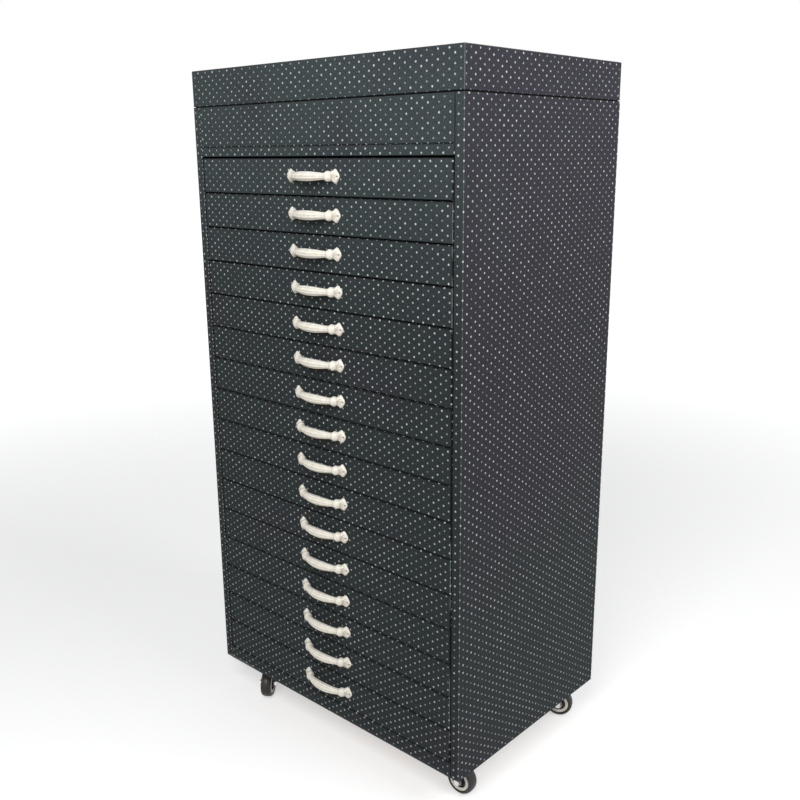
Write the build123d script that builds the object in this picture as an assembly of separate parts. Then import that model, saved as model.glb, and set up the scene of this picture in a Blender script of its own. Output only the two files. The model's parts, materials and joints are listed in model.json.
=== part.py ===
from build123d import *

import math
import os

# Microscope slide cabinet: sixteen shallow drawers under a lift-up lid, on four swivel casters.
# Millimetres. +X is the cabinet's right, -Y its front and +Z up. The origin lies on the floor,
# under the middle of the carcass.

# Carcass: boards wrapped in dotted vinyl
WIDTH = 560.0
DEPTH = 380.0
BOARD = 15.0
BACK_BOARD = 5.0
BACK_REBATE = 7.0
FASCIA_HEIGHT = 62.0
BOTTOM_RAIL_HEIGHT = 24.6
EDGE_ROUND = 1.0

# Lid: five boards mitred along every edge, cut from stock that stands proud and then trimmed
LID_HEIGHT = 56.0
LID_BOARD = 15.0
LID_SEAM = 1.2
LID_EDGE_ROUND = 1.6
LID_STOCK = 5.0

# Drawers
DRAWER_COUNT = 16
FRONT_HEIGHT = 53.5
FRONT_BOARD = 15.0
FRONT_SEAM = 1.8
TOP_GAP = 2.6
FRONT_SIDE_GAP = 2.6
BOX_WALL = 12.0
BOX_HEIGHT = 43.0
BOX_RISE = 5.0
BOX_REAR_GAP = 10.0
BOX_BOTTOM = 4.0
BOTTOM_RISE = 4.0
BOTTOM_GROOVE = 5.0
PANEL_PLAY = 0.2

# Wooden runners, screwed to the side panels and let into the drawer sides
RUNNER_HEIGHT = 9.5
RUNNER_REACH = 8.0
RUNNER_SET_BACK = 3.0
RUNNER_REAR_GAP = 20.0
RUNNER_SEAT_GAP = 0.2
RUNNER_UNDER_GAP = 0.6
RUNNER_SIDE_GAP = 0.8

# Bow handles, cast. Insets are counted inwards from a hole, offsets outwards from the drawer front
HOLE_SPACING = 96.0
HANDLE_RISE = 1.6
FOOT_TIP = 8.0
FOOT_TIP_HALF_HEIGHT = 2.4
FOOT_HALF_HEIGHT = 10.3
FOOT_THICKNESS = 5.4
NECK_INSET = 4.0
NECK_OFFSET = 1.2
NECK_HALF_HEIGHT = 7.0
COLLAR_INSET = 10.0
COLLAR_OFFSET = 6.4
COLLAR_WIDTH = 5.0
COLLAR_HALF_HEIGHT = 7.9
COLLAR_HALF_DEPTH = 6.6
GRIP_INSET = 15.0
GRIP_END_OFFSET = 8.9
GRIP_END_HALF_HEIGHT = 5.8
GRIP_END_HALF_DEPTH = 5.2
BOW_OFFSET = 15.6
GRIP_HALF_HEIGHT = 7.2
GRIP_HALF_DEPTH = 6.6
FLUTE = 0.08
PULL_SIDES = 12
HANDLE_SCREW = 4.0
HANDLE_SCREW_HEAD = 8.0
HANDLE_SCREW_HEAD_DEPTH = 2.4
HANDLE_SCREW_BITE = 4.0
HANDLE_HOLE_PLAY = 0.25

# Swivel casters
CASTER_HEIGHT = 65.0
CASTER_INSET_X = 66.0
CASTER_INSET_Y = 54.0
CASTER_TRAIL = 30.0
WHEEL_DIAMETER = 48.0
WHEEL_WIDTH = 19.0
TYRE_THICKNESS = 6.5
TYRE_CROWN = 1.6
RING_WIDTH = 3.6
HUB_WEB = 6.0
HUB_BOSS = 14.0
AXLE = 6.0
AXLE_HEAD = 11.0
AXLE_HEAD_DEPTH = 3.6
FORK_PLATE = 2.4
FORK_SIDE_GAP = 0.5
FORK_CROWN = 32.0
FORK_TOE = 8.0
PLATE_LENGTH = 60.0
PLATE_WIDTH = 50.0
PLATE_THICKNESS = 3.0
PLATE_HOLES_X = 46.0
PLATE_HOLES_Y = 36.0
RACE_DEPTH = 3.6
KINGPIN = 8.0
KINGPIN_HEAD = 14.0
KINGPIN_HEAD_DEPTH = 2.2
PIN_PLAY = 0.05
SWIVEL_GAP = 0.3
PLATE_SCREW = 4.0
PLATE_SCREW_HEAD = 8.0
PLATE_SCREW_HEAD_DEPTH = 2.2
PLATE_SCREW_LENGTH = 12.0
# Which way each caster trails, in degrees from +X, as it was left standing
CASTER_YAWS = {"front_right": 3.0, "back_right": 24.0, "front_left": -56.0, "back_left": 12.0}

# Lid hinges
HINGE_SPACING = 360.0
HINGE_LENGTH = 60.0
HINGE_LEAF = 26.0
HINGE_LEAF_THICKNESS = 1.6
KNUCKLE = 7.0
HINGE_PIN = 3.6
KNUCKLE_GAP = 0.3

# Places worked out from the sizes above
SIDE = WIDTH / 2
FRONT = -DEPTH / 2
BACK = DEPTH / 2
INSIDE = SIDE - BOARD
BASE = CASTER_HEIGHT
RAIL_TOP = BASE + BOTTOM_RAIL_HEIGHT
PITCH = FRONT_HEIGHT + FRONT_SEAM
CELLS_BOTTOM = RAIL_TOP + FRONT_SEAM / 2
CELLS_TOP = CELLS_BOTTOM + DRAWER_COUNT * PITCH
FLOOR_BOTTOM = CELLS_TOP - FRONT_SEAM / 2 + TOP_GAP
FLOOR_TOP = FLOOR_BOTTOM + BOARD
CARCASS_TOP = FLOOR_TOP + FASCIA_HEIGHT
TOP = CARCASS_TOP + LID_HEIGHT
REAR_INSIDE = BACK - BACK_BOARD
BOX_SIDE = INSIDE - FRONT_SIDE_GAP
BOX_FRONT = FRONT + FRONT_BOARD
BOX_REAR = REAR_INSIDE - BOX_REAR_GAP
BOX_TOP = BOX_RISE + BOX_HEIGHT
RUNNER_MIDDLE = BOX_RISE + BOX_HEIGHT / 2
HINGE_Y = BACK + KNUCKLE / 2 + KNUCKLE_GAP
HINGE_Z = CARCASS_TOP + LID_SEAM / 2
PLATE_BOTTOM = BASE - PLATE_THICKNESS
RACE_BOTTOM = PLATE_BOTTOM - RACE_DEPTH
CROWN_TOP = RACE_BOTTOM - SWIVEL_GAP
CROWN_BOTTOM = CROWN_TOP - FORK_PLATE
WHEEL_RADIUS = WHEEL_DIAMETER / 2
RIM_RADIUS = WHEEL_RADIUS - TYRE_THICKNESS
FORK_INSIDE = WHEEL_WIDTH / 2 + FORK_SIDE_GAP
FORK_OUTSIDE = FORK_INSIDE + FORK_PLATE


def block(x, y, z):
    """A rectangular solid that fills the three given (low, high) spans."""
    size = [high - low for low, high in (x, y, z)]
    middle = [(high + low) / 2 for low, high in (x, y, z)]
    return Pos(*middle) * Box(*size)


def write(node, *solids):
    """Writes one node as a STEP file that holds its solids side by side."""
    export_step(Compound(list(solids)), f"parts/{node}.step")


def rounded(board, radius, *keep):
    """The board with the edges that pass every test in keep rounded off."""
    chosen = [edge for edge in board.edges() if all(test(edge.center()) for test in keep)]
    return fillet(chosen, radius).solid()


def in_front(middle):
    """True for an edge that lies in the cabinet's front plane."""
    return abs(middle.Y - FRONT) < EDGE_ROUND / 2


# ---- carcass ----

def side_panel(hand):
    """A side wall: hand is 1 on the right and -1 on the left. The back board lies in its rebate."""
    wall = block((INSIDE, SIDE), (FRONT, BACK), (BASE, CARCASS_TOP))
    wall -= block((INSIDE, INSIDE + BACK_REBATE), (REAR_INSIDE, BACK), (BASE, CARCASS_TOP))
    wall = rounded(wall, EDGE_ROUND, in_front)
    return wall if hand > 0 else mirror(wall, Plane.YZ).solid()


def back_panel():
    """The thin back, from rebate to rebate and from the base to the lid."""
    reach = INSIDE + BACK_REBATE - PANEL_PLAY
    return block((-reach, reach), (REAR_INSIDE, BACK), (BASE, CARCASS_TOP))


def cross_board(y, z):
    """A board between the side panels."""
    return block((-INSIDE, INSIDE), y, z)


def bottom_panel():
    """The bottom, with pilot holes for the caster screws."""
    board = cross_board((FRONT + BOARD, REAR_INSIDE), (BASE, BASE + BOARD))
    bite = PLATE_SCREW_LENGTH - PLATE_THICKNESS
    for x, y in caster_places().values():
        for dx, dy in plate_hole_places():
            board -= Pos(x + dx, y + dy, BASE + bite / 2) * Cylinder(PLATE_SCREW / 2 + PIN_PLAY, bite)
    return board.solid()


# ---- drawers, drawn at the height where the drawer's cell starts ----

def drawer_front():
    """The wrapped front board, with a hole behind each foot of its handle."""
    low = FRONT_SEAM / 2
    board = block((-BOX_SIDE, BOX_SIDE), (FRONT, BOX_FRONT), (low, low + FRONT_HEIGHT))
    board = chamfer([edge for edge in board.edges() if in_front(edge.center())], EDGE_ROUND)
    groove = low + BOX_RISE + BOTTOM_RISE
    inner = BOX_SIDE - BOX_WALL + BOTTOM_GROOVE
    board -= block((-inner, inner), (BOX_FRONT - BOTTOM_GROOVE, BOX_FRONT), (groove, groove + BOX_BOTTOM))
    for x in (-HOLE_SPACING / 2, HOLE_SPACING / 2):
        hole = Cylinder(HANDLE_SCREW / 2 + HANDLE_HOLE_PLAY, FRONT_BOARD)
        board -= Pos(x, FRONT + FRONT_BOARD / 2, handle_height()) * Rot(90, 0, 0) * hole
    return board.solid()


def drawer_side(hand):
    """A side board: grooved outside for the runner and inside for the bottom."""
    low = FRONT_SEAM / 2 + BOX_RISE
    span = (BOX_FRONT, BOX_REAR)
    board = block((BOX_SIDE - BOX_WALL, BOX_SIDE), span, (low, low + BOX_HEIGHT))
    slot_depth = RUNNER_REACH - FRONT_SIDE_GAP + RUNNER_SIDE_GAP
    slot_low = runner_low() - RUNNER_UNDER_GAP
    slot_high = runner_low() + RUNNER_HEIGHT + RUNNER_SEAT_GAP
    board -= block((BOX_SIDE - slot_depth, BOX_SIDE), span, (slot_low, slot_high))
    inside = BOX_SIDE - BOX_WALL
    groove = low + BOTTOM_RISE
    board -= block((inside, inside + BOTTOM_GROOVE), span, (groove, groove + BOX_BOTTOM))
    return board.solid() if hand > 0 else mirror(board, Plane.YZ).solid()


def drawer_rear():
    """The rear board, which stands on the bottom between the sides."""
    inside = BOX_SIDE - BOX_WALL
    low = FRONT_SEAM / 2 + BOX_RISE
    return block((-inside, inside), (BOX_REAR - BOX_WALL, BOX_REAR),
                 (low + BOTTOM_RISE + BOX_BOTTOM, low + BOX_HEIGHT))


def drawer_bottom():
    """The thin bottom, held in the grooves of the front and the sides."""
    reach = BOX_SIDE - BOX_WALL + BOTTOM_GROOVE - PANEL_PLAY
    low = FRONT_SEAM / 2 + BOX_RISE + BOTTOM_RISE
    return block((-reach, reach), (BOX_FRONT - BOTTOM_GROOVE + PANEL_PLAY, BOX_REAR), (low, low + BOX_BOTTOM))


def runner_low():
    """Height of a runner's lower edge in its cell."""
    return FRONT_SEAM / 2 + RUNNER_MIDDLE - RUNNER_HEIGHT / 2


def runner(hand):
    """A wooden strip on a side panel that one side of a drawer slides on."""
    low = runner_low()
    strip = block((INSIDE - RUNNER_REACH, INSIDE), (BOX_FRONT + RUNNER_SET_BACK, REAR_INSIDE - RUNNER_REAR_GAP),
                  (low, low + RUNNER_HEIGHT))
    return strip if hand > 0 else mirror(strip, Plane.YZ).solid()


# ---- handles ----

def handle_height():
    """Height of the handle's centre line in its cell."""
    return (FRONT_SEAM + FRONT_HEIGHT) / 2 + HANDLE_RISE


def pull_stations():
    """Half of the pull, from its middle to its tip: (x, offset, half height, half depth, flute)."""
    hole = HOLE_SPACING / 2
    collar = hole - COLLAR_INSET
    grip_end = hole - GRIP_INSET
    shoulder = collar + COLLAR_WIDTH / 2
    neck = hole - NECK_INSET
    sag = BOW_OFFSET - GRIP_END_OFFSET
    half_way = (GRIP_END_HALF_HEIGHT + GRIP_HALF_HEIGHT) / 2
    return [
        (0, BOW_OFFSET, GRIP_HALF_HEIGHT, GRIP_HALF_DEPTH, FLUTE),
        (grip_end / 2, BOW_OFFSET - sag / 4, half_way, (GRIP_END_HALF_DEPTH + GRIP_HALF_DEPTH) / 2, FLUTE),
        (grip_end, GRIP_END_OFFSET, GRIP_END_HALF_HEIGHT, GRIP_END_HALF_DEPTH, FLUTE),
        (collar, COLLAR_OFFSET, COLLAR_HALF_HEIGHT, COLLAR_HALF_DEPTH, 0),
        (shoulder, (COLLAR_OFFSET + NECK_OFFSET) / 2, COLLAR_HALF_HEIGHT * 0.9, COLLAR_HALF_DEPTH * 0.9, 0),
        (neck, NECK_OFFSET, NECK_HALF_HEIGHT, FOOT_THICKNESS, 0),
        (hole, 0, FOOT_HALF_HEIGHT, FOOT_THICKNESS, 0),
        (hole + FOOT_TIP * 0.7, 0, FOOT_HALF_HEIGHT * 0.7, FOOT_THICKNESS * 0.65, 0),
        (hole + FOOT_TIP, 0, FOOT_TIP_HALF_HEIGHT, FOOT_THICKNESS / 4, 0),
    ]


def pull_section(station, lean):
    """A section square to the pull's run, which leans by that angle; flute draws in every other corner."""
    x, offset, half_height, half_depth, flute = station
    corners = []
    for k in range(PULL_SIDES):
        angle = 2 * math.pi * k / PULL_SIDES
        reach = 1 - flute * (k % 2)
        out = reach * half_depth * math.cos(angle)
        up = reach * half_height * math.sin(angle)
        corners.append((x + out * math.sin(lean), FRONT - offset - out * math.cos(lean), handle_height() + up))
    return Face(Wire.make_polygon(corners, close=True))


def pull():
    """The cast pull: fan feet flat on the drawer, a collar above each and a swelled, fluted grip."""
    stations = pull_stations()
    sections = []
    for before, here, after in zip(stations[:1] + stations, stations, stations[1:] + stations[-1:]):
        lean = math.atan2(before[1] - after[1], after[0] - before[0]) if here[0] > 0 else 0
        sections.append(pull_section(here, lean))
    half = loft(sections, ruled=True)
    body = half + mirror(half, Plane.YZ)
    hole = HOLE_SPACING / 2
    reach = hole + FOOT_TIP
    body -= block((-reach, reach), (FRONT, FRONT + FOOT_THICKNESS * 2), (0, PITCH))
    for x in (-hole, hole):
        socket = Cylinder(HANDLE_SCREW / 2 + PIN_PLAY, HANDLE_SCREW_BITE)
        body -= Pos(x, FRONT - HANDLE_SCREW_BITE / 2, handle_height()) * Rot(90, 0, 0) * socket
    return body.solid()


def handle_screw(x):
    """A screw from inside the drawer, through the front board and into a foot of the pull."""
    length = FRONT_BOARD + HANDLE_SCREW_BITE
    shank = Pos(0, 0, length / 2) * Cylinder(HANDLE_SCREW / 2, length)
    head = Pos(0, 0, -HANDLE_SCREW_HEAD_DEPTH / 2) * Cylinder(HANDLE_SCREW_HEAD / 2, HANDLE_SCREW_HEAD_DEPTH)
    return (Pos(x, BOX_FRONT, handle_height()) * Rot(90, 0, 0) * (shank + head)).solid()


# ---- lid ----

def lid_envelope():
    """The lid's outside as one block, with its upright and top edges rounded."""
    outside = block((-SIDE, SIDE), (FRONT, BACK), (CARCASS_TOP + LID_SEAM, TOP))
    edges = [edge for edge in outside.edges() if edge.center().Z > CARCASS_TOP + LID_SEAM + LID_EDGE_ROUND]
    return fillet(edges, LID_EDGE_ROUND)


def lid_panel():
    """The lid's top board, mitred at 45 degrees along its four edges."""
    lower = Pos(0, 0, TOP - LID_BOARD) * Rectangle(2 * (SIDE - LID_BOARD), 2 * (BACK - LID_BOARD))
    upper = Pos(0, 0, TOP + LID_STOCK) * Rectangle(2 * (SIDE + LID_STOCK), 2 * (BACK + LID_STOCK))
    return (loft([lower, upper], ruled=True) & lid_envelope()).solid()


def lid_wall(half_length, outside):
    """One wall of the lid, along X on the -Y side, mitred against the top board and its neighbours."""
    low = CARCASS_TOP + LID_SEAM

    def outline(growth):
        """The wall's outline where it has grown outwards by growth from the lid's outside."""
        reach, y, high = half_length + growth, -outside - growth, TOP + growth
        return Face(Wire.make_polygon([(-reach, y, low), (reach, y, low), (reach, y, high), (-reach, y, high)]))

    return loft([outline(-LID_BOARD), outline(LID_STOCK)], ruled=True)


def lid_rim():
    """The lid's four walls, front and back first."""
    long_wall = lid_wall(SIDE, BACK)
    short_wall = lid_wall(BACK, SIDE)
    walls = [long_wall, Rot(0, 0, 180) * long_wall, Rot(0, 0, 90) * short_wall, Rot(0, 0, 270) * short_wall]
    return [(wall & lid_envelope()).solid() for wall in walls]


# ---- hinges ----

def hinge_leaf(x, up, start, end):
    """A leaf on the back of the cabinet: up is 1 on the lid, -1 below it. Its knuckle spans start to end."""
    half = HINGE_LENGTH / 2
    low, high = sorted((HINGE_Z + up * KNUCKLE / 2, HINGE_Z + up * HINGE_LEAF))
    plate = block((-half, half), (BACK, BACK + HINGE_LEAF_THICKNESS), (low, high))
    neck_low, neck_high = sorted((HINGE_Z, HINGE_Z + up * KNUCKLE))
    leaf = plate
    for near, far in (start, end):
        middle = (near + far) / 2
        barrel = Cylinder(KNUCKLE / 2, far - near)
        leaf += Pos(middle, HINGE_Y, HINGE_Z) * Rot(0, 90, 0) * barrel
        leaf += block((near, far), (BACK + KNUCKLE_GAP, BACK + HINGE_LEAF_THICKNESS), (neck_low, neck_high))
    leaf -= Pos(0, HINGE_Y, HINGE_Z) * Rot(0, 90, 0) * Cylinder(HINGE_PIN / 2 + PIN_PLAY, HINGE_LENGTH)
    return (Pos(x, 0, 0) * leaf).solid()


def hinge_places():
    """The middle of each hinge along the back edge."""
    return (-HINGE_SPACING / 2, HINGE_SPACING / 2)


def fixed_leaf(x):
    """The lower leaf, with a knuckle at each end."""
    half = HINGE_LENGTH / 2
    third = HINGE_LENGTH / 6
    return hinge_leaf(x, -1, (-half, -third - KNUCKLE_GAP), (third + KNUCKLE_GAP, half))


def lid_leaf(x):
    """The upper leaf, with one knuckle between the lower leaf's two."""
    third = HINGE_LENGTH / 6
    return hinge_leaf(x, 1, (-third, 0), (0, third))


def hinge_pin(x):
    """The pin through the three knuckles."""
    return Pos(x, HINGE_Y, HINGE_Z) * Rot(0, 90, 0) * Cylinder(HINGE_PIN / 2, HINGE_LENGTH)


# ---- casters, drawn about the kingpin with the wheel trailing along +X ----

def caster_places():
    """The kingpin of each caster."""
    x = SIDE - CASTER_INSET_X
    y = DEPTH / 2 - CASTER_INSET_Y
    return {"front_right": (x, -y), "back_right": (x, y), "front_left": (-x, -y), "back_left": (-x, y)}


def plate_hole_places():
    """The four screws of a caster plate, from its kingpin."""
    half_x, half_y = PLATE_HOLES_X / 2, PLATE_HOLES_Y / 2
    return [(dx, dy) for dx in (-half_x, half_x) for dy in (-half_y, half_y)]


def caster_plate():
    """The top plate with its swivel race, bored for the kingpin's neck and four screws."""
    plate = Pos(0, 0, PLATE_BOTTOM + PLATE_THICKNESS / 2) * Box(PLATE_LENGTH, PLATE_WIDTH, PLATE_THICKNESS)
    plate += Pos(0, 0, PLATE_BOTTOM - RACE_DEPTH / 2) * Cylinder(FORK_CROWN / 2, RACE_DEPTH)
    for dx, dy in plate_hole_places():
        hole = Cylinder(PLATE_SCREW / 2 + PIN_PLAY, PLATE_THICKNESS)
        plate -= Pos(dx, dy, PLATE_BOTTOM + PLATE_THICKNESS / 2) * hole
    pin_bottom = CROWN_BOTTOM - SWIVEL_GAP
    plate += Pos(0, 0, (RACE_BOTTOM + pin_bottom) / 2) * Cylinder(KINGPIN / 2, RACE_BOTTOM - pin_bottom)
    head = Cylinder(KINGPIN_HEAD / 2, KINGPIN_HEAD_DEPTH)
    plate += Pos(0, 0, pin_bottom - KINGPIN_HEAD_DEPTH / 2) * head
    return plate.solid()


def plate_screw():
    """A wood screw through a caster plate."""
    shank = Pos(0, 0, PLATE_BOTTOM + PLATE_SCREW_LENGTH / 2) * Cylinder(PLATE_SCREW / 2, PLATE_SCREW_LENGTH)
    head = Cylinder(PLATE_SCREW_HEAD / 2, PLATE_SCREW_HEAD_DEPTH)
    return (shank + Pos(0, 0, PLATE_BOTTOM - PLATE_SCREW_HEAD_DEPTH / 2) * head).solid()


def tangent_point(px, pz, radius, turn):
    """Where a line from (px, pz) touches the fork's eye; turn picks the side."""
    dx, dz = px - CASTER_TRAIL, pz - WHEEL_RADIUS
    reach = math.hypot(dx, dz)
    angle = math.atan2(dz, dx) + turn * math.acos(radius / reach)
    return CASTER_TRAIL + radius * math.cos(angle), WHEEL_RADIUS + radius * math.sin(angle)


def fork():
    """The yoke: a round crown on the kingpin and two legs that taper to the axle."""
    crown = Pos(0, 0, (CROWN_TOP + CROWN_BOTTOM) / 2) * Cylinder(FORK_CROWN / 2, FORK_PLATE)
    toe = FORK_CROWN / 2 * 0.8
    crown += block((-toe, toe), (-FORK_OUTSIDE, FORK_OUTSIDE), (CROWN_BOTTOM, CROWN_TOP))
    outline = [(-toe, CROWN_TOP), (toe, CROWN_TOP),
               tangent_point(toe, CROWN_TOP, FORK_TOE, -1), tangent_point(-toe, CROWN_TOP, FORK_TOE, 1)]
    for low in (-FORK_OUTSIDE, FORK_INSIDE):
        profile = Face(Wire.make_polygon([(x, low, z) for x, z in outline], close=True))
        crown += extrude(profile, FORK_PLATE, dir=(0, 1, 0))
        eye = Rot(90, 0, 0) * Cylinder(FORK_TOE, FORK_PLATE)
        crown += Pos(CASTER_TRAIL, low + FORK_PLATE / 2, WHEEL_RADIUS) * eye
    crown -= Cylinder(KINGPIN / 2 + PIN_PLAY, CASTER_HEIGHT * 2)
    crown -= Pos(CASTER_TRAIL, 0, WHEEL_RADIUS) * Rot(90, 0, 0) * Cylinder(AXLE / 2 + PIN_PLAY, WHEEL_DIAMETER)
    return crown.solid()


def axle():
    """The axle bolt, with its head on one side of the fork and its nut on the other."""
    bolt = Rot(90, 0, 0) * Cylinder(AXLE / 2, 2 * FORK_OUTSIDE)
    for side in (-1, 1):
        middle = side * (FORK_OUTSIDE + AXLE_HEAD_DEPTH / 2)
        hexagon = extrude(RegularPolygon(AXLE_HEAD / 2, 6), AXLE_HEAD_DEPTH / 2, both=True)
        bolt += Pos(0, middle, 0) * Rot(90, 0, 0) * hexagon
    return (Pos(CASTER_TRAIL, 0, WHEEL_RADIUS) * bolt).solid()


def turned(profile):
    """A solid of revolution about the axle from (radius, width) points, set at the axle."""
    face = Face(Wire.make_polygon([(radius, 0, width) for radius, width in profile], close=True))
    return Pos(CASTER_TRAIL, 0, WHEEL_RADIUS) * Rot(90, 0, 0) * revolve(face, Axis.Z)


def hub():
    """The wheel's centre: a bored boss, a thin web and a rim whose face carries a raised ring."""
    bore = AXLE / 2 + PIN_PLAY
    half = WHEEL_WIDTH / 2
    ring_in = RIM_RADIUS - RING_WIDTH
    web = HUB_WEB / 2
    ring_low = half - RING_WIDTH / 2
    upper = [(bore, half), (HUB_BOSS / 2, half), (HUB_BOSS / 2, web), (ring_in, web),
             (ring_in, ring_low), (ring_in + RING_WIDTH / 2, half), (RIM_RADIUS, ring_low)]
    lower = [(radius, -width) for radius, width in upper[::-1]]
    return turned(upper + lower).solid()


def tyre():
    """The tyre, with a crowned tread and rounded shoulders."""
    half = WHEEL_WIDTH / 2
    shoulder = TYRE_THICKNESS / 2
    upper = [(RIM_RADIUS, half - RING_WIDTH / 2), (RIM_RADIUS + shoulder / 3, half),
             (WHEEL_RADIUS - shoulder, half), (WHEEL_RADIUS - TYRE_CROWN, half - TYRE_CROWN),
             (WHEEL_RADIUS, half / 3)]
    lower = [(radius, -width) for radius, width in upper[::-1]]
    return turned(upper + lower).solid()


# ---- the cabinet ----

def write_carcass():
    """The boards that stay put."""
    write("right_side_panel", side_panel(1))
    write("left_side_panel", side_panel(-1))
    write("back_panel", back_panel())
    write("bottom_panel", bottom_panel())
    rail = cross_board((FRONT, FRONT + BOARD), (BASE, RAIL_TOP))
    write("bottom_rail", rounded(rail, EDGE_ROUND, in_front, lambda middle: middle.Z > BASE + EDGE_ROUND))
    floor = cross_board((FRONT, REAR_INSIDE), (FLOOR_BOTTOM, FLOOR_TOP))
    floor = rounded(floor, EDGE_ROUND, in_front, lambda middle: middle.Z < FLOOR_TOP - EDGE_ROUND)
    write("compartment_floor", floor)
    fascia = cross_board((FRONT, FRONT + BOARD), (FLOOR_TOP, CARCASS_TOP))
    write("front_fascia", rounded(fascia, EDGE_ROUND, in_front))
    write("rear_rail", cross_board((REAR_INSIDE - BOARD, REAR_INSIDE), (FLOOR_TOP, CARCASS_TOP)))


def write_drawers():
    """Every drawer and its handle, numbered from the top, and the runners that carry them."""
    boards = [drawer_front(), drawer_side(1), drawer_side(-1), drawer_rear(), drawer_bottom()]
    metal = [pull(), handle_screw(-HOLE_SPACING / 2), handle_screw(HOLE_SPACING / 2)]
    strips = []
    for number in range(1, DRAWER_COUNT + 1):
        cell = Pos(0, 0, CELLS_TOP - number * PITCH)
        write(f"drawer_{number:02d}", *[cell * board for board in boards])
        write(f"handle_{number:02d}", *[cell * piece for piece in metal])
        strips += [cell * runner(hand) for hand in (-1, 1)]
    write("drawer_runners", *strips)


def write_lid():
    """The lid and its hinges."""
    write("lid_panel", lid_panel())
    write("lid_rim", *lid_rim())
    write("lid_hinge_leaves", *[lid_leaf(x) for x in hinge_places()])
    write("fixed_hinge_leaves", *[fixed_leaf(x) for x in hinge_places()])
    write("hinge_pins", *[hinge_pin(x) for x in hinge_places()])


def write_casters():
    """The four casters."""
    plates = []
    screws = []
    for name, (x, y) in caster_places().items():
        place = Pos(x, y, 0)
        turn = Rot(0, 0, CASTER_YAWS[name])
        plates.append(place * caster_plate())
        screws += [place * Pos(dx, dy, 0) * plate_screw() for dx, dy in plate_hole_places()]
        write(f"caster_fork_{name}", place * turn * fork(), place * turn * axle())
        write(f"caster_hub_{name}", place * turn * hub())
        write(f"caster_tyre_{name}", place * turn * tyre())
    write("caster_plates", *plates)
    write("caster_screws", *screws)


os.makedirs("parts", exist_ok=True)
write_carcass()
write_drawers()
write_lid()
write_casters()
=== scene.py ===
import json
import math
from functools import reduce

import bmesh
import bpy
from mathutils import Matrix, Vector


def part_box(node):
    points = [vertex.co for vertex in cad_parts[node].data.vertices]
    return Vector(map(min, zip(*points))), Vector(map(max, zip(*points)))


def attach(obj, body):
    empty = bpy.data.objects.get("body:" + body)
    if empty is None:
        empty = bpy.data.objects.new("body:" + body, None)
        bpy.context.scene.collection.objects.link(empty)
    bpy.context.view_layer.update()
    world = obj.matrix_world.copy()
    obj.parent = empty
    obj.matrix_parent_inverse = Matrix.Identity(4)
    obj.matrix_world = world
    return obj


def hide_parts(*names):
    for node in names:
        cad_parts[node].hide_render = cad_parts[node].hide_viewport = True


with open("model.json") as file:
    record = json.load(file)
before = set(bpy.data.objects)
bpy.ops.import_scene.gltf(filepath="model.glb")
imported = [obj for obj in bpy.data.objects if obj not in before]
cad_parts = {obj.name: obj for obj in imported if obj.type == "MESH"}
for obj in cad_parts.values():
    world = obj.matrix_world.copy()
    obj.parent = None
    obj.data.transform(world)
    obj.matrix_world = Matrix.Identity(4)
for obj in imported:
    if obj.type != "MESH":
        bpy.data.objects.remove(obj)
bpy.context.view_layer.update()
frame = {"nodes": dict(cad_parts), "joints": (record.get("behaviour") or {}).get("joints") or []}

# A cabinet of sixteen shallow drawers, wrapped in dotted vinyl, with cast bow handles and four
# swivel casters. Metres, +X the cabinet's right, -Y its front and +Z up.

MM = 0.001

# The signs of a rectangle's corners, in order round it
CORNERS = ((-1, -1), (1, -1), (1, 1), (-1, 1))

# ---- places read from the frame ----

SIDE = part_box("right_side_panel")[1].x
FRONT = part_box("right_side_panel")[0].y
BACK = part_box("back_panel")[1].y
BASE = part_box("right_side_panel")[0].z
CARCASS_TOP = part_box("right_side_panel")[1].z
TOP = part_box("lid_panel")[1].z
FRONT_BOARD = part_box("front_fascia")[1].y - FRONT
SIDE_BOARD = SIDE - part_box("right_side_panel")[0].x
FASCIA_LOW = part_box("front_fascia")[0].z
FLOOR_BOARD = FASCIA_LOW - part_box("compartment_floor")[0].z
LID_LINE = (CARCASS_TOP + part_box("lid_rim")[0].z) / 2
DRAWERS = sorted(name for name in frame["nodes"] if name.startswith("drawer_") and name[-2:].isdigit())

# ---- camera ----

CAMERA_PLACE = Vector((1.0283, -1.1335, 0.9798))
CAMERA_AZIMUTH = 42.355
CAMERA_ELEVATION = 14.871
CAMERA_ROLL = -0.469
CAMERA_FOCUS = 928.3 / 800
CAMERA_SIGHT = 200.0
SENSOR = 36.0

# ---- light ----

LAMP_SIZE = 1.2
KEY_PLACE, KEY_AIM, KEY_POWER = (0.8, -1.6, 1.95), (0.1, 0, 1.0), 40
FILL_PLACE, FILL_AIM, FILL_POWER = (1.95, 0.3, 1.95), (0, 0.05, 1.0), 32
SKY_COLOUR = (0.95, 0.97, 1.0, 1)
SKY_STRENGTH = 0.30
WHITE = (1, 1, 1, 1)

# The floor's half width, its grey, and how far from the cabinet its own white comes up
FLOOR_REACH = 40.0
FLOOR_GREY = (0.60, 0.60, 0.60, 1)
FLOOR_WHITE_NEAR, FLOOR_WHITE_FAR = 0.8, 3.5
FLOOR_WHITE_LEAST, FLOOR_WHITE_MOST = 0.50, 0.88

# ---- the vinyl wrap ----

# The dots' spacing across and up, in millimetres. A second lattice lies in the middle of the first.
DOT_ACROSS, DOT_UP = 18.5, 12.6
DOT_PERIOD = Vector((DOT_ACROSS * MM, DOT_UP * MM, 1.0))
DOT_RADIUS = 1.0 * MM
DOT_RADIUS_SPREAD = 0.375 * MM
DOT_SOFTNESS = 0.60 * MM
DOT_DIM = (0.22, 0.235, 0.235, 1)
DOT_BRIGHT = (0.56, 0.575, 0.57, 1)

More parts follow.
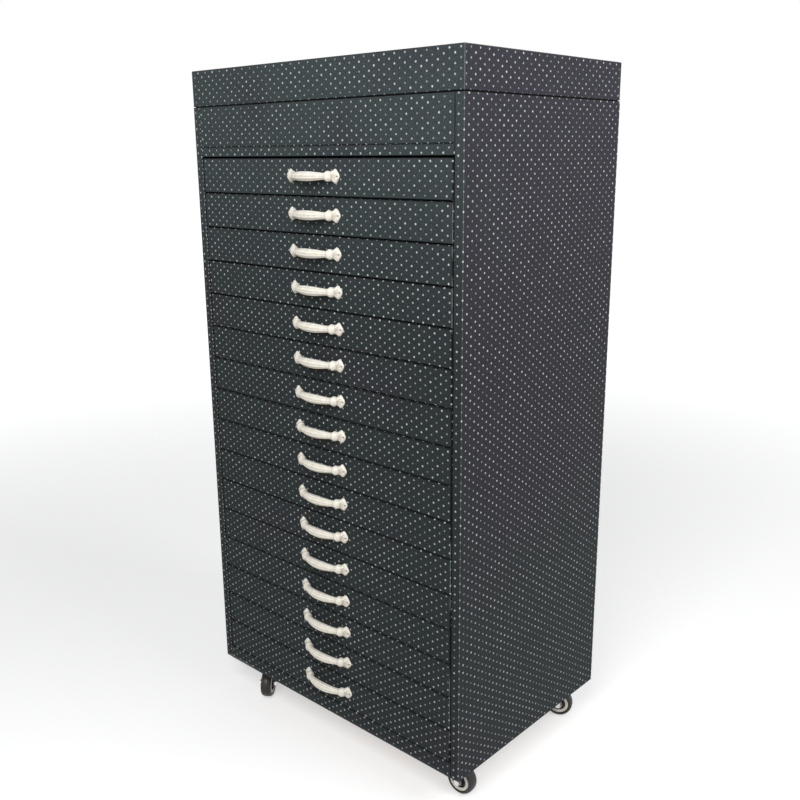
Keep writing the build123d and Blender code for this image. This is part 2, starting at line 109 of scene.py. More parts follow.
# Slate at the front and plum at the sides, each made paler towards the top by painted light
WRAP_SLATE = (0.026, 0.032, 0.033, 1)
WRAP_PLUM = (0.031, 0.030, 0.036, 1)
WRAP_SLATE_LIT_TOP = (0.044, 0.057, 0.059, 1)
WRAP_PLUM_LIT_TOP = (0.037, 0.036, 0.046, 1)
PLUM_LOW, PLUM_HIGH = 0.10, 0.60
TOP_LIGHT_LOW, TOP_LIGHT_HIGH = 0.66, 1.10
PLUM_SHARE = 0.40

# Pale rounded upright edges and corners, partly wear and partly painted highlight; painted shade in the
# seams and gaps; and the scuffs at the left end of the front's lower edge
WRAP_EDGE_HIGHLIGHT = (0.13, 0.14, 0.14, 1)
WRAP_SEAM_SHADE = (0.006, 0.006, 0.006, 1)
WRAP_KICKED = (0.20, 0.20, 0.18, 1)
CORNER_WIDTH = 5 * MM
CORNER_HIGHLIGHT_AND_WEAR = 0.75
EDGE_SHADE_STRENGTH = 0.85
SCUFF_TOP, SCUFF_FULL = 7.0 * MM, 2.0 * MM
SCUFF_END, SCUFF_START = 0.11, 0.05
SCUFF_LEAST, SCUFF_MOST = 0.08, 0.85

# Lines of painted shade in the seams: half width with their soft edge, half width of their core, and
# strength
LID_SEAM = (1.9 * MM, 1.0 * MM, 0.9)
FASCIA_SEAM = (1.5 * MM, 0.7 * MM, 0.8)
FASCIA_END = (1.3 * MM, 0.5 * MM, 0.75)

# Relief and gloss of the wrap
PEBBLE_SCALE = 900.0
PEBBLE_DEPTH = 0.12 * MM
DOT_DEPTH = 0.15 * MM
DOT_GLOSS = 0.30
WRAP_SPECULAR = 0.05

# A direction within 45 degrees of an axis has more than this along it
TURNED = math.sqrt(0.5)

# ---- colours of the other materials ----

PALE_WOOD = (0.60, 0.43, 0.26, 1)
DARK_WOOD = (0.44, 0.28, 0.15, 1)
# Near black: painted shade on wood that lies in narrow gaps
WOOD_SHADE = (0.010, 0.010, 0.010, 1)
FIGURE_ACROSS, FIGURE_ALONG = 34.0, 2.2
PORES_ACROSS, PORES_ALONG = 900.0, 26.0
HARDBOARD_DARK = (0.070, 0.048, 0.036, 1)
HARDBOARD_PALE = (0.094, 0.066, 0.048, 1)
HARDBOARD_FIBRE = (0.045, 0.030, 0.022, 1)
FIBRE_SCALE = (300.0, 300.0, 180.0)
CREAM = (0.865, 0.83, 0.725, 1)
CREAM_AGED = (0.80, 0.76, 0.65, 1)
PATINA = (0.34, 0.23, 0.15, 1)
DIMPLE_BROWN = (0.08, 0.045, 0.03, 1)

# ---- the fan feet of the pulls ----

FAN_CENTRE = 43.5 * MM
FAN_CREASES = (math.radians(14), math.radians(40))
CREASE_EDGE, CREASE_CORE = 0.85 * MM, 0.20 * MM
CREASE_FROM, CREASE_FULL = 1.0 * MM, 3.0 * MM
CREASE_TO, CREASE_FADES = 9.0 * MM, 6.5 * MM
DIMPLE_REACH = 9.3 * MM
DIMPLE_EDGE, DIMPLE_CORE = 2.2 * MM, 0.9 * MM
DIMPLE_SQUEEZE = 1.6


# ---- node trees ----

class Nodes:
    """A node tree under construction. Values given to its methods are sockets or constants."""

    def __init__(self, tree):
        self.tree = tree

    def node(self, kind, inputs=None, **settings):
        """A new node of that kind, with its settings made and its inputs filled or linked."""
        node = self.tree.nodes.new("ShaderNode" + kind)
        for name, value in settings.items():
            setattr(node, name, value)
        for name, value in (inputs or {}).items():
            self.feed(node.inputs[name], value)
        return node

    def feed(self, socket, value):
        """Links a socket to an output, or sets it to a constant."""
        if isinstance(value, bpy.types.NodeSocket):
            self.tree.links.new(value, socket)
        else:
            socket.default_value = value

    def math(self, operation, *values):
        return self.node("Math", dict(enumerate(values)), operation=operation).outputs[0]

    def times(self, *values):
        """The product of all values."""
        return reduce(lambda a, b: self.math("MULTIPLY", a, b), values)

    def most(self, *values):
        """The largest of all values."""
        return reduce(lambda a, b: self.math("MAXIMUM", a, b), values)

    def less(self, a, b):
        """a less b."""
        return self.math("SUBTRACT", a, b)

    def size(self, value):
        """value without its sign."""
        return self.math("ABSOLUTE", value)

    def vector(self, operation, *values):
        node = self.node("VectorMath", dict(enumerate(values)), operation=operation)
        return node.outputs["Value" if operation == "LENGTH" else "Vector"]

    def split(self, vector):
        return self.node("SeparateXYZ", {"Vector": vector}).outputs

    def join(self, x, y, z=0.0):
        return self.node("CombineXYZ", {"X": x, "Y": y, "Z": z}).outputs[0]

    def mix(self, factor, a, b, way="MIX"):
        """A blend of two colours."""
        node = self.node("Mix", data_type="RGBA", blend_type=way)
        for index, value in ((0, factor), (6, a), (7, b)):
            self.feed(node.inputs[index], value)
        return node.outputs[2]

    def mix_vectors(self, factor, a, b):
        """A blend of two vectors."""
        node = self.node("Mix", data_type="VECTOR")
        for index, value in ((0, factor), (4, a), (5, b)):
            self.feed(node.inputs[index], value)
        return node.outputs[1]

    def blend(self, factor, a, b):
        """A blend of two numbers."""
        node = self.node("Mix", data_type="FLOAT")
        for index, value in ((0, factor), (2, a), (3, b)):
            self.feed(node.inputs[index], value)
        return node.outputs[0]

    def ramp(self, value, low, high, to_low=0.0, to_high=1.0):
        """value mapped smoothly from low..high to to_low..to_high, and held outside."""
        inputs = {"Value": value, "From Min": low, "From Max": high, "To Min": to_low, "To Max": to_high}
        return self.node("MapRange", inputs, interpolation_type="SMOOTHSTEP").outputs[0]

    def line(self, value, centre, edge, core, strength):
        """A soft stripe where value is near centre: 0 from edge outwards and strength within core."""
        return self.ramp(self.size(self.less(value, centre)), edge, core, 0.0, strength)

    def noise(self, vector, scale, detail=2.0, roughness=0.5):
        inputs = {"Vector": vector, "Scale": scale, "Detail": detail, "Roughness": roughness}
        return self.node("TexNoise", inputs).outputs[0]

    def bump(self, height, distance, strength=1.0, normal=None):
        inputs = {"Height": height, "Distance": distance, "Strength": strength}
        if normal is not None:
            inputs["Normal"] = normal
        return self.node("Bump", inputs).outputs[0]

    def seen_rays(self):
        """1 for rays that look at a thing straight, in metal or through glass, and 0 for all others."""
        rays = self.node("LightPath").outputs
        return self.most(rays["Is Camera Ray"], rays["Is Transmission Ray"], rays["Is Glossy Ray"])


class Shader(Nodes):
    """A material under construction."""

    def __init__(self, name):
        self.material = bpy.data.materials.new(name)
        self.material.use_nodes = True
        super().__init__(self.material.node_tree)
        self.surface = self.tree.nodes["Principled BSDF"]

    def place(self):
        """The point's place in its object's own coordinates."""
        return self.node("TexCoord").outputs["Object"]

    def set(self, **values):
        """Sets inputs of the surface shader, by names with underscores for spaces."""
        for name, value in values.items():
            self.feed(self.surface.inputs[name.replace("_", " ")], value)


# ---- materials ----

class WrapPlace:
    """Where a point lies on the cabinet, which way it faces, and where it is on the vinyl sheet."""

    def __init__(self, shader):
        space = shader.node("TexCoord").outputs
        self.place = space["Object"]
        self.x, y, self.height = shader.split(self.place)
        self.reach = shader.size(self.x)
        normal = shader.split(space["Normal"])
        self.aside, forward, self.upright = (shader.size(part) for part in normal)
        self.flatness = shader.most(self.aside, forward, self.upright)
        self.on_side = shader.math("GREATER_THAN", self.aside, TURNED)
        self.facing = shader.math("GREATER_THAN", shader.times(normal[1], -1.0), TURNED)
        self.sheet = self.unwrapped(shader, y, shader.math("SIGN", normal[0]))

    def unwrapped(self, shader, y, hand):
        """Coordinates on the sheet, which runs round the upright corners and over the top edge."""
        on_top = shader.math("GREATER_THAN", self.upright, TURNED)
        depth = shader.less(y, FRONT)
        far_side = shader.times(shader.less(1.0, hand), -SIDE)
        round_corner = shader.math("MULTIPLY_ADD", depth, hand, far_side)
        across = shader.blend(self.on_side, shader.less(self.x, SIDE), round_corner)
        up = shader.math("MULTIPLY_ADD", on_top, depth, self.height)
        phase = shader.node("Attribute", attribute_type="OBJECT", attribute_name="wrap_phase")
        return shader.vector("ADD", shader.join(across, up), phase.outputs["Vector"])


def dot_lattice(shader, sheet, stagger):
    """Distance to the nearest dot of one of the two interleaved lattices, and the dot's own number."""
    cells = shader.vector("ADD", shader.vector("DIVIDE", sheet, DOT_PERIOD), (stagger, stagger, 0.0))
    nearest = shader.vector("FLOOR", shader.vector("ADD", cells, (0.5, 0.5, 0.0)))
    offset = shader.vector("MULTIPLY", shader.vector("SUBTRACT", cells, nearest), DOT_PERIOD)
    distance = shader.vector("LENGTH", shader.vector("MULTIPLY", offset, (1.0, 1.0, 0.0)))
    return distance, shader.vector("ADD", nearest, (stagger, stagger, 0.0))


def wrap_dots(shader, at):
    """How much of a dot covers a point, and a random value for each dot."""
    near_a, number_a = dot_lattice(shader, at.sheet, 0.0)
    near_b, number_b = dot_lattice(shader, at.sheet, 0.5)
    number = shader.mix_vectors(shader.math("LESS_THAN", near_b, near_a), number_a, number_b)
    luck = shader.node("TexWhiteNoise", {"Vector": number}, noise_dimensions="3D").outputs["Value"]
    radius = shader.math("MULTIPLY_ADD", luck, DOT_RADIUS_SPREAD, DOT_RADIUS)
    distance = shader.math("MINIMUM", near_a, near_b)
    return shader.ramp(shader.less(distance, radius), DOT_SOFTNESS, -DOT_SOFTNESS), luck


def wrap_cloth(shader, at, drift, mottle):
    """The wrap's colour between the dots, with painted light making it paler towards the top."""
    plum = shader.times(at.on_side, shader.ramp(at.height, PLUM_LOW, PLUM_HIGH))
    tint = shader.ramp(shader.math("MULTIPLY_ADD", plum, PLUM_SHARE, drift), 0.50, 0.85)
    # Painted light: the cloth turns paler towards the top
    top_light = shader.ramp(at.height, TOP_LIGHT_LOW, TOP_LIGHT_HIGH)
    slate = shader.mix(top_light, WRAP_SLATE, WRAP_SLATE_LIT_TOP)
    cloth = shader.mix(tint, slate, shader.mix(top_light, WRAP_PLUM, WRAP_PLUM_LIT_TOP))
    speckles = shader.mix(shader.ramp(mottle, 0.30, 0.72), (0.62, 0.62, 0.62, 1), (1.4, 1.4, 1.4, 1))
    return shader.mix(1.0, cloth, speckles, way="MULTIPLY")


def wrap_edge_highlight_shade_and_wear(shader, at):
    """How pale and how dark the rounded edges of the boards are: pale by wear and painted highlight, dark by
    painted shade.
    """
    edge = shader.ramp(at.flatness, 0.97, 0.80)
    corner = shader.math("GREATER_THAN", at.reach, SIDE - CORNER_WIDTH)
    patch = shader.ramp(shader.noise(at.place, scale=14.0), 0.48, 0.60)
    patch = shader.most(patch, shader.times(corner, CORNER_HIGHLIGHT_AND_WEAR))
    flecks = shader.ramp(shader.noise(at.place, scale=90.0, detail=3.0), 0.3, 0.6, 0.35, 1.0)
    # Painted highlight on the rounded edges that face the sides, broken into worn-looking patches and flecks
    highlight_and_wear = shader.times(edge, shader.ramp(at.aside, 0.1, 0.6), patch, flecks)
    # Painted shade on the rounded edges that face up or down, in the gaps between boards, and on edges
    # outside the pale patches
    shaded_edge = shader.most(shader.ramp(at.upright, 0.15, 0.5), shader.less(1.0, patch))
    return highlight_and_wear, shader.times(edge, shaded_edge, EDGE_SHADE_STRENGTH)


def wrap_seams(shader, at):
    """The lines of painted shade in the seams under the lid, under the fascia and at the fascia's two ends.
    """
    under_lid = shader.line(at.height, LID_LINE, *LID_SEAM)
    inside_side = SIDE - SIDE_BOARD
    under_fascia = shader.times(shader.line(at.height, FASCIA_LOW, *FASCIA_SEAM),
                                shader.math("LESS_THAN", at.reach, inside_side))
    fascia_end = shader.times(shader.line(at.reach, inside_side, *FASCIA_END),
                              at.facing,
                              shader.math("GREATER_THAN", at.height, FASCIA_LOW - FLOOR_BOARD),
                              shader.math("LESS_THAN", at.height, CARCASS_TOP))
    return under_lid, shader.most(under_fascia, fascia_end)


def wrap_scuffs(shader, at, drift):
    """How scuffed the front's lower edge is, mostly near its left end."""
    foot = shader.ramp(at.height, BASE + SCUFF_TOP, BASE + SCUFF_FULL)
    at_left = shader.ramp(at.x, SCUFF_END - SIDE, SCUFF_START - SIDE, SCUFF_LEAST, SCUFF_MOST)
    return shader.times(foot, at.facing, at_left, shader.ramp(drift, 0.3, 0.55, 0.6, 1.0))


def wrap_material():
    """Slate vinyl printed with a staggered lattice of small pale dots, paler towards the top by painted
    light, pale along its rounded edges by wear and painted highlight, and dark in its seams by painted
    shade.
    """
    shader = Shader("dotted_vinyl")
    at = WrapPlace(shader)
    drift = shader.noise(at.place, scale=5.0)
    mottle = shader.noise(at.place, scale=620.0, detail=3.0, roughness=0.7)
    dot, luck = wrap_dots(shader, at)
    highlight_and_wear, edge_shade = wrap_edge_highlight_shade_and_wear(shader, at)
    under_lid, seams = wrap_seams(shader, at)
    # The dots are hidden in the painted shade of the lid's seam
    dot = shader.times(dot, shader.less(1.0, under_lid))

    cloth = wrap_cloth(shader, at, drift, mottle)
    # Painted shade on the rounded edges and in the seams
    ground = shader.mix(shader.most(edge_shade, under_lid, seams), cloth, WRAP_SEAM_SHADE)
    # Painted highlight, partly wear, along the rounded edges
    ground = shader.mix(highlight_and_wear, ground, WRAP_EDGE_HIGHLIGHT)
    ground = shader.mix(wrap_scuffs(shader, at, drift), ground, WRAP_KICKED)
    dot_colour = shader.mix(shader.ramp(luck, 0.0, 1.0, 0.25, 1.0), DOT_DIM, DOT_BRIGHT)
    shader.set(Base_Color=shader.mix(dot, ground, dot_colour))

    shader.set(Roughness=shader.blend(dot, shader.ramp(mottle, 0.3, 0.7, 0.44, 0.62), DOT_GLOSS))
    shader.set(Specular_IOR_Level=WRAP_SPECULAR)
    grain = shader.node("TexVoronoi", {"Vector": at.place, "Scale": PEBBLE_SCALE}, feature="SMOOTH_F1")
    pebbled = shader.bump(grain.outputs["Distance"], PEBBLE_DEPTH, strength=0.5)
    shader.set(Normal=shader.bump(dot, DOT_DEPTH, strength=0.8, normal=pebbled))
    return shader.material


def wood_material(name, along, shaded_below=None):
    """Bare wood whose grain runs along the given axis (0, 1 or 2), painted near black below a given height
    as painted shade.
    """
    shader = Shader(name)
    place = shader.place()

    def stretched(across, lengthways):
        scale = [across] * 3
        scale[along] = lengthways
        return shader.vector("MULTIPLY", place, tuple(scale))

    streaks = shader.noise(stretched(FIGURE_ACROSS, FIGURE_ALONG), scale=1.0, detail=6.0, roughness=0.65)
    pores = shader.noise(stretched(PORES_ACROSS, PORES_ALONG), scale=1.0)
    rings = shader.math("SINE", shader.times(streaks, 42.0))
    figure = shader.math("MULTIPLY_ADD", rings, 0.18, streaks)
    wood = shader.mix(shader.ramp(figure, 0.25, 0.8), PALE_WOOD, DARK_WOOD)
    wood = shader.mix(shader.ramp(pores, 0.56, 0.75, 0.0, 0.45), wood, DARK_WOOD)
    # Painted shade: below that height the wood lies in the narrow gaps beside the drawers
    if shaded_below is not None:
        stained = shader.math("LESS_THAN", shader.split(place)[2], shaded_below)
        wood = shader.mix(stained, wood, WOOD_SHADE)
    shader.set(Base_Color=wood)
    shader.set(Roughness=shader.ramp(streaks, 0.3, 0.7, 0.50, 0.68))
    shader.set(Normal=shader.bump(pores, distance=0.10 * MM, strength=0.4))
    return shader.material


def hardboard_material():
    """Brown hardboard with a faint fibre pattern."""
    shader = Shader("hardboard")
    place = shader.place()
    fibre = shader.noise(shader.vector("MULTIPLY", place, FIBRE_SCALE), scale=1.0, detail=5.0, roughness=0.7)
    blotch = shader.noise(place, scale=7.0, detail=3.0)
    brown = shader.mix(shader.ramp(blotch, 0.3, 0.7), HARDBOARD_DARK, HARDBOARD_PALE)
    shader.set(Base_Color=shader.mix(shader.ramp(fibre, 0.35, 0.7), brown, HARDBOARD_FIBRE))
    shader.set(Roughness=shader.ramp(fibre, 0.3, 0.7, 0.55, 0.75))
    shader.set(Normal=shader.bump(fibre, distance=0.08 * MM, strength=0.5))
    return shader.material


def foot_creases(shader, out, height):
    """The creases that fan out over a pull's foot, from its own place along and across the foot."""
    creases = []
    for angle in FAN_CREASES:
        c, s = math.cos(angle), math.sin(angle)
        along = shader.math("MULTIPLY_ADD", out, c, shader.times(height, s))
        aside = shader.size(shader.math("MULTIPLY_ADD", out, s, shader.times(height, -c)))
        creases.append(shader.times(shader.ramp(aside, CREASE_EDGE, CREASE_CORE),
                                    shader.ramp(along, CREASE_FROM, CREASE_FULL),
                                    shader.ramp(along, CREASE_TO, CREASE_FADES)))
    return shader.most(0.0, *creases)


def ivory_material():
    """Cream enamel on a cast pull, with brown patina in its flutes, its feet's creases and their dimples."""
    shader = Shader("ivory_cast")
    place = shader.place()
    hollow = shader.node("Attribute", attribute_name="hollow").outputs["Fac"]
    cloud = shader.noise(place, scale=160.0, detail=3.0)
    x, _, z = shader.split(place)
    out = shader.less(shader.size(x), FAN_CENTRE)
    creases = foot_creases(shader, out, shader.size(z))
    from_dimple = shader.join(shader.less(out, DIMPLE_REACH), shader.times(z, DIMPLE_SQUEEZE))
    dimple = shader.ramp(shader.vector("LENGTH", from_dimple), DIMPLE_EDGE, DIMPLE_CORE)

    cream = shader.mix(shader.ramp(cloud, 0.3, 0.7), CREAM, CREAM_AGED)
    pits = shader.most(shader.times(creases, 0.9), hollow)
    stain = shader.times(pits, shader.ramp(cloud, 0.2, 0.7, 0.6, 0.95))
    aged = shader.mix(stain, cream, PATINA)
    shader.set(Base_Color=shader.mix(shader.times(dimple, 0.9), aged, DIMPLE_BROWN))
    shader.set(Roughness=shader.ramp(cloud, 0.3, 0.7, 0.30, 0.42))
    shader.set(Coat_Weight=0.25, Coat_Roughness=0.15)
    relief = shader.less(shader.times(cloud, 0.25), shader.math("ADD", creases, dimple))
    shader.set(Normal=shader.bump(relief, distance=0.30 * MM, strength=0.8))
    return shader.material


def metal_material(name, colour, roughness, scratch=0.15):
    """Plated or painted metal with a fine uneven polish."""
    shader = Shader(name)
    cloud = shader.noise(shader.place(), scale=240.0, detail=4.0, roughness=0.6)
    dull = tuple(0.72 * part for part in colour) + (1,)
    shader.set(Base_Color=shader.mix(shader.ramp(cloud, 0.3, 0.75), tuple(colour) + (1,), dull))
    shader.set(Metallic=1.0)
    shader.set(Roughness=shader.ramp(cloud, 0.3, 0.7, roughness, roughness + scratch))
    shader.set(Normal=shader.bump(cloud, distance=0.05 * MM, strength=0.4))
    return shader.material


def moulded_material(name, colour, dusty, roughness):
    """Rubber or plastic with patches of dust."""
    shader = Shader(name)
    place = shader.place()
    dust = shader.noise(place, scale=130.0, detail=4.0, roughness=0.65)
    shader.set(Base_Color=shader.mix(shader.ramp(dust, 0.45, 0.85, 0.0, 0.6), colour + (1,), dusty + (1,)))
    shader.set(Roughness=shader.ramp(dust, 0.3, 0.7, roughness, roughness + 0.18))
    shader.set(Normal=shader.bump(shader.noise(place, scale=1500.0), distance=0.04 * MM, strength=0.5))
    return shader.material


WRAP = wrap_material()
WOOD_X = wood_material("bare_wood_x", 0)
WOOD_Y = wood_material("bare_wood_y", 1)
# The side panels' insides, with painted shade below the fascia, beside the drawers
SIDE_INSIDE = wood_material("side_inside", 1, shaded_below=FASCIA_LOW)
HARDBOARD = hardboard_material()
IVORY = ivory_material()
ZINC = metal_material("zinc_plate", (0.60, 0.61, 0.62), 0.28)
BRIGHT = metal_material("bright_steel", (0.78, 0.78, 0.77), 0.16)
FORK_STEEL = metal_material("dark_steel", (0.075, 0.075, 0.078), 0.34)
TYRE = moulded_material("tyre_rubber", (0.008, 0.007, 0.006), (0.030, 0.025, 0.022), 0.36)
HUB = moulded_material("hub_plastic", (0.030, 0.034, 0.034), (0.07, 0.07, 0.068), 0.34)
RING = moulded_material("ring_plastic", (0.90, 0.86, 0.76), (0.74, 0.69, 0.59), 0.30)


# ---- the CAD nodes' own surfaces ----

# Faces this near an outer plane of the cabinet belong to its outside
SKIN = 2 * MM

# Where a drawer's bottom board lies above the front's lower edge, and half its clear width
BOTTOM_LOW = 8.9 * MM
BOTTOM_HIGH = 13.1 * MM
DRAWER_INSIDE = 250.3 * MM

# How far each drawer's sheet is shifted from the one above, across and up, in millimetres
SHIFT_ACROSS, SHIFT_UP = 7.3, 5.9


def paint(node, materials, choose=lambda middle, normal: 0):
    """Gives a CAD node its materials; choose says which one, by index, from a face's middle and normal."""
    mesh = frame["nodes"][node].data
    mesh.materials.clear()
    for material in materials:
        mesh.materials.append(material)
    for face in mesh.polygons:
        face.material_index = choose(face.center, face.normal)


def wrap_phase(node, across, up):
    """Where the dot lattice starts on a node's own sheet of vinyl, in millimetres."""
    frame["nodes"][node]["wrap_phase"] = (across * MM, up * MM, 0.0)


def side_choice(middle, normal):
    """Wrap on a side panel's outside, front, back and top, and wood inside."""
    outside = abs(middle.x) > SIDE - SKIN or middle.y < FRONT + SKIN or max(normal.y, normal.z) > 0.5
    return 0 if outside else 1


def front_choice(middle, normal):
    """Wrap on the front and wood behind it."""
    return 0 if middle.y < FRONT + SKIN else 1


def front_and_top_choice(middle, normal):
    """Wrap on the front and the top, and wood elsewhere."""
    return 0 if middle.y < FRONT + SKIN or normal.z > 0.5 else 1


def lid_choice(middle, normal):
    """Wrap on the lid's outside and on its walls' lower edges, and wood inside."""
    outside = max(abs(middle.x) - SIDE, abs(middle.y) + FRONT, middle.z - TOP) > -SKIN
    return 0 if outside or normal.z < -0.9 and middle.z < CARCASS_TOP + SKIN else 1


def paint_carcass():
    for node in ("right_side_panel", "left_side_panel"):
        paint(node, [WRAP, SIDE_INSIDE], side_choice)
        wrap_phase(node, 0.0, 0.0)
    for node in ("front_fascia", "bottom_rail"):
        paint(node, [WRAP, WOOD_X], front_and_top_choice)
    paint("compartment_floor", [WRAP, WOOD_X], front_choice)
    wrap_phase("front_fascia", 4.1, 3.3)
    wrap_phase("compartment_floor", 6.0, 8.7)
    wrap_phase("bottom_rail", 2.2, 5.1)
    for node in ("lid_panel", "lid_rim"):
        paint(node, [WRAP, WOOD_X], lid_choice)
        wrap_phase(node, 6.0, 3.0)
    paint("bottom_panel", [WOOD_X])
    paint("rear_rail", [WOOD_X])
    paint("back_panel", [HARDBOARD])
    paint("drawer_runners", [WOOD_Y])


def paint_drawers():
    """Wrapped fronts, wooden sides and rears with the grain along them, and hardboard bottoms."""
    for index, node in enumerate(DRAWERS):
        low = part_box(node)[0]

        def choice(middle, normal):
            if middle.y < FRONT + FRONT_BOARD - MM:
                return 0
            if abs(normal.z) > 0.5 and BOTTOM_LOW < middle.z - low.z < BOTTOM_HIGH:
                return 3
            return 2 if abs(normal.x) > 0.5 or abs(middle.x) > DRAWER_INSIDE else 1

        paint(node, [WRAP, WOOD_X, WOOD_Y, HARDBOARD], choice)
        wrap_phase(node, SHIFT_ACROSS * index % DOT_ACROSS, SHIFT_UP * index % DOT_UP)


def paint_metal():
    for node in ("lid_hinge_leaves", "fixed_hinge_leaves", "caster_plates", "caster_screws"):
        paint(node, [ZINC])
    paint("hinge_pins", [BRIGHT])


# ---- new pieces ----

def add_piece(name, mesh, body, materials, place=Matrix.Identity(4)):
    """Puts a mesh into the scene as a piece on a body."""
    piece = bpy.data.objects.new(name, mesh)
    bpy.context.scene.collection.objects.link(piece)
    if not mesh.materials:
        for material in materials:
            mesh.materials.append(material)
    piece.matrix_world = place
    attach(piece, body)
    return piece


def finished_mesh(name, build, smooth=True):
    """A mesh from a bmesh that build fills."""
    mesh = bpy.data.meshes.new(name)
    form = bmesh.new()
    build(form)
    bmesh.ops.recalc_face_normals(form, faces=form.faces)
    form.to_mesh(mesh)
    form.free()
    for face in mesh.polygons:
        face.use_smooth = smooth
    return mesh


def join_rings(form, here, there, material=0):
    """Faces between two closed rings of as many points."""
    count = len(here)
    for k in range(count):
        j = (k + 1) % count
        form.faces.new((here[k], here[j], there[j], there[k])).material_index = material


# A pan head's section, from its foot over its rim into the cross recess: share of the radius,
# whether that ring is the cross, and share of the height
HEAD_SECTION = [(1.0, False, 0.0), (1.0, False, 0.35), (0.85, False, 0.78), (0.55, False, 1.0),
                (1.0, True, 1.0), (0.6, True, 0.35)]
HEAD_SIDES = 24
CROSS_ARM = 0.46
CROSS_FLANK = 0.24
CROSS_WAIST = 0.17


def cross_reach(k):
    """The cross recess's reach at the k-th of the head's sides, as a share of the head's radius."""
    step = k % (HEAD_SIDES // 4)
    return CROSS_ARM if step == 0 else CROSS_FLANK if step in (1, 5) else CROSS_WAIST


def screw_head(form, place, radius, height, material=0):
    """Adds a pan head with a cross recess, which stands on place along its Z."""
    rings = []
    for scale, crossed, level in HEAD_SECTION:
        ring = []
        for k in range(HEAD_SIDES):
            angle = 2 * math.pi * k / HEAD_SIDES
            reach = radius * scale * (cross_reach(k) if crossed else 1.0)
            point = Vector((reach * math.cos(angle), reach * math.sin(angle), level * height))
            ring.append(form.verts.new(place @ point))
        rings.append(ring)
    for here, there in zip(rings, rings[1:]):
        join_rings(form, here, there, material)
    for ring in (rings[0][::-1], rings[-1]):
        form.faces.new(ring).material_index = material


# ---- handles ----

# Half of the pull from its middle to its tip: distance along the drawer, distance of the
# centre line from the drawer, half height, half depth and depth of the flutes, in millimetres
PULL_STATIONS = [
    (0.0, 15.6, 7.2, 6.6, 0.55),
    (8.0, 15.2, 7.1, 6.5, 0.55),
    (16.5, 13.9, 6.6, 6.0, 0.55),
    (25.0, 11.7, 5.7, 5.4, 0.50),
    (31.5, 9.4, 5.1, 5.0, 0.45),
    (34.5, 8.2, 5.9, 5.6, 0.25),
    (37.5, 6.7, 7.8, 6.6, 0.0),
    (39.8, 5.0, 7.4, 6.3, 0.0),
    (41.8, 3.2, 6.8, 5.8, 0.0),
    (44.0, 1.4, 8.2, 5.2, 0.15),
    (46.8, 0.4, 10.3, 4.7, 0.35),
    (49.4, 0.0, 9.6, 4.0, 0.40),
    (52.0, 0.0, 7.0, 3.2, 0.30),
    (54.4, 0.0, 4.0, 2.3, 0.10),
    (56.0, 0.0, 1.5, 1.2, 0.0),
]
PULL_SIDES = 60
PULL_STEPS = 121

# Flutes round the grip and lobes round each foot, which starts this far from the middle
GRIP_FLUTES = 8
FOOT_LOBES = 6
FOOT_START = 42.0
FLUTE_ROUNDNESS = 0.6

# Stained rings at the collar's two necks
NECKS = (34.0, 41.8)
NECK_WIDTH = 1.3
NECK_STAIN = 0.4

# The screws' distance from the pull's middle and their heads
HOLE = 48.0
SCREW_HEAD = 4.0
SCREW_HEAD_DEPTH = 2.4


def track_tangents(values, gaps):
    """Slopes at the stations of a monotone cubic."""
    slopes = [(b - a) / gap for a, b, gap in zip(values, values[1:], gaps)]
    inner = [2 * a * b / (a + b) if a * b > 0 else 0.0 for a, b in zip(slopes, slopes[1:])]
    return [slopes[0], *inner, slopes[-1]]


def smooth_track(stations, count):
    """Points of a monotone cubic through (position, value...) stations, evenly spaced in position."""
    xs, *columns = zip(*stations)
    gaps = [b - a for a, b in zip(xs, xs[1:])]
    tracks = [(values, track_tangents(values, gaps)) for values in columns]
    points = []
    for k in range(count):
        x = xs[0] + (xs[-1] - xs[0]) * k / (count - 1)
        i = max(j for j in range(len(gaps)) if xs[j] <= x + 1e-12)
        t = (x - xs[i]) / gaps[i]
        row = [x]
        for values, tangents in tracks:
            row.append((2 * t**3 - 3 * t**2 + 1) * values[i] + (t**3 - 2 * t**2 + t) * gaps[i] * tangents[i]
                       + (3 * t**2 - 2 * t**3) * values[i + 1] + (t**3 - t**2) * gaps[i] * tangents[i + 1])
        points.append(row)
    return points


def pull_section(x, offset, half_height, half_depth, flute, out):
    """Points round the pull at x, in millimetres, each with its stain; out is square to the centre line."""
    lobes = FOOT_LOBES if abs(x) > FOOT_START else GRIP_FLUTES
    neck = max(1 - abs(abs(x) - place) / NECK_WIDTH for place in NECKS)
    section = []
    for k in range(PULL_SIDES):
        angle = 2 * math.pi * k / PULL_SIDES
        ridge = 0.5 + 0.5 * math.cos(lobes * (angle + math.pi / lobes))
        dip = flute * (1 - ridge**FLUTE_ROUNDNESS)
        reach = 1 - dip / half_height
        point = Vector((x, -offset)) + out * (half_depth * reach * math.cos(angle))
        height = half_height * reach * math.sin(angle)
        stain = max(1 - 3 * ridge, 0.0) * dip + NECK_STAIN * max(neck, 0.0)
        section.append((point.x, min(point.y, 0.0), height, min(stain, 1.0)))
    return section


